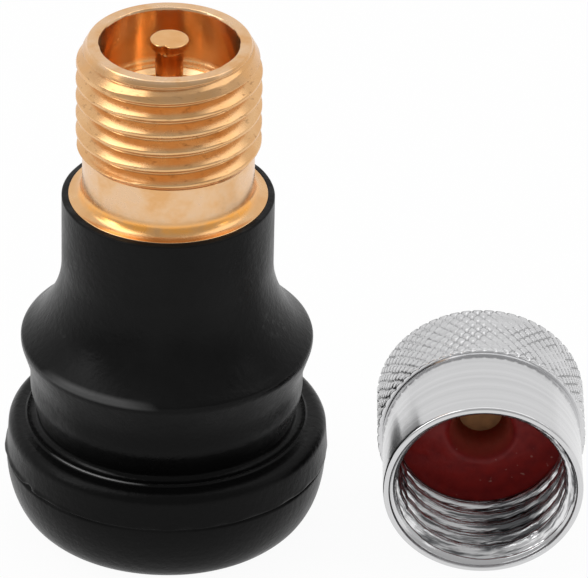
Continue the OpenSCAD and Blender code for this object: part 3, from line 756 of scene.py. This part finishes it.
# %% [markdown]
# ## Cap
# The cap lies on its side with its mouth to the camera, so it is turned about its own axis first and then
# laid down with one matrix. Its band carries a diamond knurl: two sets of grooves that run round it in
# opposite helices. Each set is a phase, angle times count plus or minus the distance along the axis, and a
# groove is where the phase is near a whole number. The grid has eight columns to a diamond, so the grooves
# fall exactly on its points. An array of small pyramids would show its joints, and this surface has none.

# %% Where the cap lies
cap_bore_r, skirt_r, knurl_step, cap_len, skirt_len, mouth_round = 3.89, 4.19, 0.2, 7.2, 4.0, 0.09
cap_x, cap_y, cap_turn = 13.3, 2.25, math.radians(0.5)
knurl_r, knurl_end = skirt_r + knurl_step, cap_len - skirt_len
cap_tilt = math.atan(knurl_step / (skirt_len - mouth_round))
cap_z = knurl_end * math.sin(cap_tilt) + knurl_r * math.cos(cap_tilt)
cap_place = (cap_x, cap_y, cap_z)
lay = np.array(Matrix.Translation(cap_place) @ Matrix.Rotation(cap_turn, 4, "Z")
               @ Matrix.Rotation(math.pi / 2 + cap_tilt, 4, "X"))
# The same place for a Mapping node, which brings Object coordinates into the cap's own axes
CAP_FRAME = {"Location": Vector(cap_place) * MM, "Rotation": (math.pi / 2 + cap_tilt, 0.0, cap_turn)}
print("the cap's axis points to", np.round(lay[:3, 2], 4))

# %% Outline of the cap
DIAMONDS, KNURL_ROWS, GRID = 56, 5, 8
seal_face, cap_end, pocket_r, mouth_in, cap_bevel, cap_pole = 3.0, 1.5, 3.59, 3.96, 0.2, 0.2
band_foot_r = skirt_r - 0.04
mouth_corner = (mouth_in - 0.02, cap_len - 0.06, 0)
end_part = rounded([(cap_pole, 0, 0), (knurl_r - cap_bevel, 0, 0.08), (knurl_r, cap_bevel, 0)], closed=False)
band_s = np.linspace(cap_bevel, knurl_end, KNURL_ROWS * GRID + 1)
band_part = np.column_stack([np.full_like(band_s, knurl_r), band_s])
skirt_part = rounded([(knurl_r, knurl_end, 0), (knurl_r - 0.02, knurl_end + 0.02, 0),
                      (band_foot_r, knurl_end + 0.02, 0.01), (band_foot_r, knurl_end + 0.1, 0.02),
                      (skirt_r, knurl_end + 0.15, 0.02), (skirt_r, cap_len, 0.12), (mouth_in, cap_len, 0.05),
                      mouth_corner], closed=False)
inner_part = np.array([mouth_corner[:2], (cap_bore_r, cap_len - 0.2), (cap_bore_r, seal_face + 0.1)])
floor_part = np.array([(cap_bore_r, seal_face + 0.1), (pocket_r, seal_face + 0.1), (pocket_r, cap_end),
                       (cap_pole, cap_end)])
cap_line = tidy(np.vstack([fill(end_part, 0.6), band_part, fill(skirt_part, 0.16), fill(inner_part, 0.045),
                           fill(floor_part, 0.5)]))
print("cap outline of", len(cap_line), "points")


# %% Knurled cap
def groove(phase):
    """1 in the middle of a groove, 0 on the flat between grooves, which takes two thirds of the spacing."""
    half_width = 0.16
    return np.clip(1 - np.abs((phase + 0.5) % 1.0 - 0.5) / half_width, 0, 1)


# One set of grooves is pressed less deep, and both are worn in places. The inner thread was cut with some
# chatter.
CAP_COLUMNS, KNURL_DEPTH, RIDGE_H, RIDGE_START = DIAMONDS * GRID, 0.1, 0.42, 0.3
chatter_depth, tear_depth, lead_slope = 0.035, 0.02, 0.8
a = around(CAP_COLUMNS)
r, s = spread(cap_line, a)
diamonds_round = DIAMONDS * a / (2 * math.pi)
diamonds_along = KNURL_ROWS * (s - cap_bevel) / (knurl_end - cap_bevel)
on_band = (r > knurl_r - 0.03) & (s > 0.15) & (s < knurl_end + 0.03)
wear = 0.72 + 0.28 * np.sin(3 * a + 1.2 * s) * np.sin(7 * a - 2.1 * s)
pressed = np.maximum(groove(diamonds_round + diamonds_along), 0.8 * groove(diamonds_round - diamonds_along))
in_thread = (r < cap_bore_r + 0.01) & (s > seal_face + 0.12) & (s < cap_len - 0.07)
turn_phase = s / CAP_PITCH - a / (2 * math.pi)
chatter = chatter_depth * np.sin(2 * math.pi * 3 * turn_phase) + tear_depth * ripple(a, 32, low=9, high=60)
ridge = cap_bore_r - RIDGE_H * (1 - thread(s, a, RIDGE_START)) - chatter
lead_in = mouth_in - lead_slope * (cap_len - s)
r = np.where(in_thread, np.maximum(ridge, np.minimum(lead_in, r)), r - on_band * KNURL_DEPTH * pressed * wear)
knurled_cap = turned("knurled_cap", r, s, closed=False, place=lay)

# %% [markdown]
# ## Plated cap metal
# The cap is nickel-plated: a neutral bright metal that mirrors the white room as light grey. Under the
# plating the lathe's rings still show as faint bands across the skirt. The coordinates are brought into the
# cap's own axes with a Mapping node first, so that the bands follow the tool's path along its axis, and no
# unwrapping is needed.

# %% Plated finish
# Bright and smooth on the skirt, a little more satin on the pressed knurl, with smudges of a millimetre.
# The real rings are as fine as the feed of the lathe, so the bands are drawn coarser to show.
band_size, smudge_size = 0.35 * MM, 1.1 * MM
plated, tree, shader, place = new_material("nickel_plated_brass")
own_axes = add(tree, "Mapping", {"Vector": place, **CAP_FRAME}, vector_type="TEXTURE")[0]
along = add(tree, "SeparateXYZ", {0: own_axes})["Z"]
across = add(tree, "Mapping", {"Vector": own_axes, "Scale": (1.0, 1.0, 0.0)})[0]
from_axis = add(tree, "VectorMath", {0: across}, operation="LENGTH")["Value"]
tool_path = add(tree, "Math", {0: along, 1: from_axis}, operation="ADD")[0]
bands = add(tree, "TexNoise", {"W": tool_path, "Scale": 1 / band_size, "Detail": 3.0},
            noise_dimensions="1D")[0]
smudge = add(tree, "TexNoise", {"Vector": own_axes, "Scale": 1 / smudge_size, "Detail": 3.0})[0]
tone = add(tree, "ValToRGB", {"Fac": bands}, stops=((0.35, "#D0D0D1"), (0.65, "#D8D8D9")))[0]
satin = add(tree, "MapRange", {"Value": along, "From Min": (knurl_end - 0.1) * MM, "From Max": knurl_end * MM,
                               "To Min": 0.2, "To Max": 0.13})[0]
gloss = add(tree, "Math", {0: smudge, 1: 0.12, 2: satin}, operation="MULTIPLY_ADD")[0]
bump = add(tree, "Bump", {"Height": bands, "Strength": 0.14, "Distance": 0.01 * MM})[0]
tree.links.new(tone, shader.inputs["Base Color"])
tree.links.new(gloss, shader.inputs["Roughness"])
tree.links.new(bump, shader.inputs["Normal"])
shader.inputs["Metallic"].default_value = 1.0
stands_for(knurled_cap, "cap_shell", "valve", plated)

# %% Dark brass deep in the cap, painted shade
# The closed end deep in the cap is dull dark brown brass: painted shade where little light reaches.
stain_size = 0.5 * MM
painted_shade_brass, tree, shader, place = new_material("dull_brass_painted_shade")
stain = add(tree, "TexNoise", {"Vector": place, "Scale": 1 / stain_size, "Detail": 3.0})[0]
tone = add(tree, "ValToRGB", {"Fac": stain}, stops=((0.0, "#674734"), (1.0, "#A77A51")))[0]
tree.links.new(tone, shader.inputs["Base Color"])
shader.inputs["Metallic"].default_value = 1.0
shader.inputs["Roughness"].default_value = 0.5
print(painted_shade_brass.name, "of", len(tree.nodes), "nodes")

# %% Plating in the cap's thread
# In the thread the plating is streaked with residue along the turns, and one dark patch at the lower
# right is painted shade.
residue_size = 0.12 * MM
shade_at, shade_size = Vector((1.6, -3.3, 4.6)) * MM, Vector((2.6, 2.0, 2.6)) * MM
streaked, tree, shader, place = new_material("streaked_thread_plating")
own_axes = add(tree, "Mapping", {"Vector": place, **CAP_FRAME}, vector_type="TEXTURE")[0]
ring_way = add(tree, "Mapping", {"Vector": own_axes, "Scale": (0.06, 0.06, 1.0)})[0]
residue = add(tree, "TexNoise", {"Vector": ring_way, "Scale": 1 / residue_size, "Detail": 3.0,
                                 "Roughness": 0.6})[0]
shade_place = add(tree, "Mapping", {"Vector": own_axes, "Location": shade_at, "Scale": shade_size},
                  vector_type="TEXTURE")[0]
painted_shade_patch = add(tree, "TexGradient", {"Vector": shade_place}, gradient_type="SPHERICAL")["Fac"]
residue_and_shade = add(tree, "Math", {0: painted_shade_patch, 1: -0.24, 2: residue}, operation="MULTIPLY_ADD")[0]
tone = add(tree, "ValToRGB", {"Fac": residue_and_shade}, stops=((0.35, "#6A6B6D"), (0.5, "#E6E6E7")))[0]
bump = add(tree, "Bump", {"Height": residue, "Strength": 0.9, "Distance": 0.05 * MM})[0]
tree.links.new(tone, shader.inputs["Base Color"])
tree.links.new(bump, shader.inputs["Normal"])
shader.inputs["Metallic"].default_value = 1.0
shader.inputs["Roughness"].default_value = 0.17
print(streaked.name, "of", len(tree.nodes), "nodes")

# %% Which face of the cap has which finish
# Faces follow the rows of the outline, and the two fans at the poles come last: first the outer one, then
# the deep one.
knurled_cap.data.materials.append(streaked)
knurled_cap.data.materials.append(painted_shade_brass)
cap_r, cap_s = cap_line.T
thread_rows = np.flatnonzero((cap_r < cap_bore_r + 0.01) & (cap_s > seal_face) & (cap_s < cap_len - 0.3))
deep_row = np.flatnonzero(np.isclose(cap_s, cap_end, atol=0.01))[0]
which = np.zeros(len(knurled_cap.data.polygons), np.int32)
which[thread_rows[0] * CAP_COLUMNS:thread_rows[-1] * CAP_COLUMNS] = 1
which[deep_row * CAP_COLUMNS:] = 2
which[-2 * CAP_COLUMNS:-CAP_COLUMNS] = 0
knurled_cap.data.polygons.foreach_set("material_index", which)
print("faces by finish:", np.bincount(which))

# %% [markdown]
# ## Red seal
# A washer of red rubber is pressed into the bottom of the cap. It is dished and lumpy, as a punched washer
# is, and its hole is coned, because the punch pulled the rubber in. The wave of the face is a function of
# the radius and the angle.

# %% Seal
SEAL_COLUMNS, dish, lumps = 160, 0.03, 0.03
seal_r, hole_r, hole_foot_r = 3.56, 1.4, 0.92
seal_line = fill(rounded([(hole_foot_r, cap_end, 0), (seal_r, cap_end, 0), (seal_r, seal_face, 0.08),
                          (hole_r, seal_face, 0.3)]), 0.08)
a = around(SEAL_COLUMNS)
r, s = spread(seal_line, a)
on_face = ramp(s, seal_face - 1.0, seal_face - 0.5) * ramp(r, seal_r - 0.1, seal_r - 0.4)
s = s - on_face * (dish + lumps * ripple(a, 21) * np.sin(2.1 * r))
red_washer = turned("red_washer", r, s, closed=True, place=lay)

# %% Red rubber finish
# Dark red with a soft uneven shine, a few pale specks that are painted glints, and a lighter wall in the
# hole, painted light where the deep hole gets little light.
lump_size, glint_size = 0.5 * MM, 0.22 * MM
red_rubber, tree, shader, place = new_material("punched_red_rubber")
lump = add(tree, "TexNoise", {"Vector": place, "Scale": 1 / lump_size, "Detail": 4.0})[0]
tone = add(tree, "ValToRGB", {"Fac": lump}, stops=((0.3, "#7A1A1A"), (0.7, "#922420")))[0]
own_axes = add(tree, "Mapping", {"Vector": place, **CAP_FRAME}, vector_type="TEXTURE")[0]
across = add(tree, "Mapping", {"Vector": own_axes, "Scale": (1.0, 1.0, 0.0)})[0]
from_axis = add(tree, "VectorMath", {0: across}, operation="LENGTH")["Value"]
painted_light_in_hole = add(tree, "MapRange", {"Value": from_axis, "From Min": hole_r * MM,
                                 "From Max": (hole_r - 0.25) * MM})[0]
colour = add(tree, "Mix", {0: painted_light_in_hole, 6: tone, 7: linear("#C85A4A")}, data_type="RGBA")[2]
# Pale specks are painted glints on the lumps.
painted_glints = add(tree, "TexNoise", {"Vector": place, "Scale": 1 / glint_size, "Detail": 1.0})[0]
painted_glints = add(tree, "MapRange", {"Value": painted_glints, "From Min": 0.74, "From Max": 0.8, "To Max": 0.35})[0]
colour = add(tree, "Mix", {0: painted_glints, 6: colour, 7: linear("#D9B8A8")}, data_type="RGBA")[2]
gloss = add(tree, "MapRange", {"Value": lump, "From Min": 0.3, "From Max": 0.7,
                               "To Min": 0.5, "To Max": 0.3})[0]
bump = add(tree, "Bump", {"Height": lump, "Strength": 0.5, "Distance": 0.06 * MM})[0]
tree.links.new(colour, shader.inputs["Base Color"])
tree.links.new(gloss, shader.inputs["Roughness"])
tree.links.new(bump, shader.inputs["Normal"])
shader.inputs["Specular IOR Level"].default_value = 0.2
stands_for(red_washer, "cap_seal", "valve", red_rubber)

# %% [markdown]
# ## What stays as it was cut
# The barrel, its packing, the spring's collar, the seat cup and its washer are hidden in the stem, and
# their solids are right as they are. They keep their own meshes and take the same finishes in their
# material slots.

# %% Finishes for the hidden pieces
hidden = {"core_barrel": core_brass, "barrel_packing": red_rubber, "spring_collar": core_brass,
          "seat_cup": core_brass, "seat_washer": rubber}
for name, material in hidden.items():
    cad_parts[name].material_slots[0].material = material
print("kept solids:", sorted(hidden))
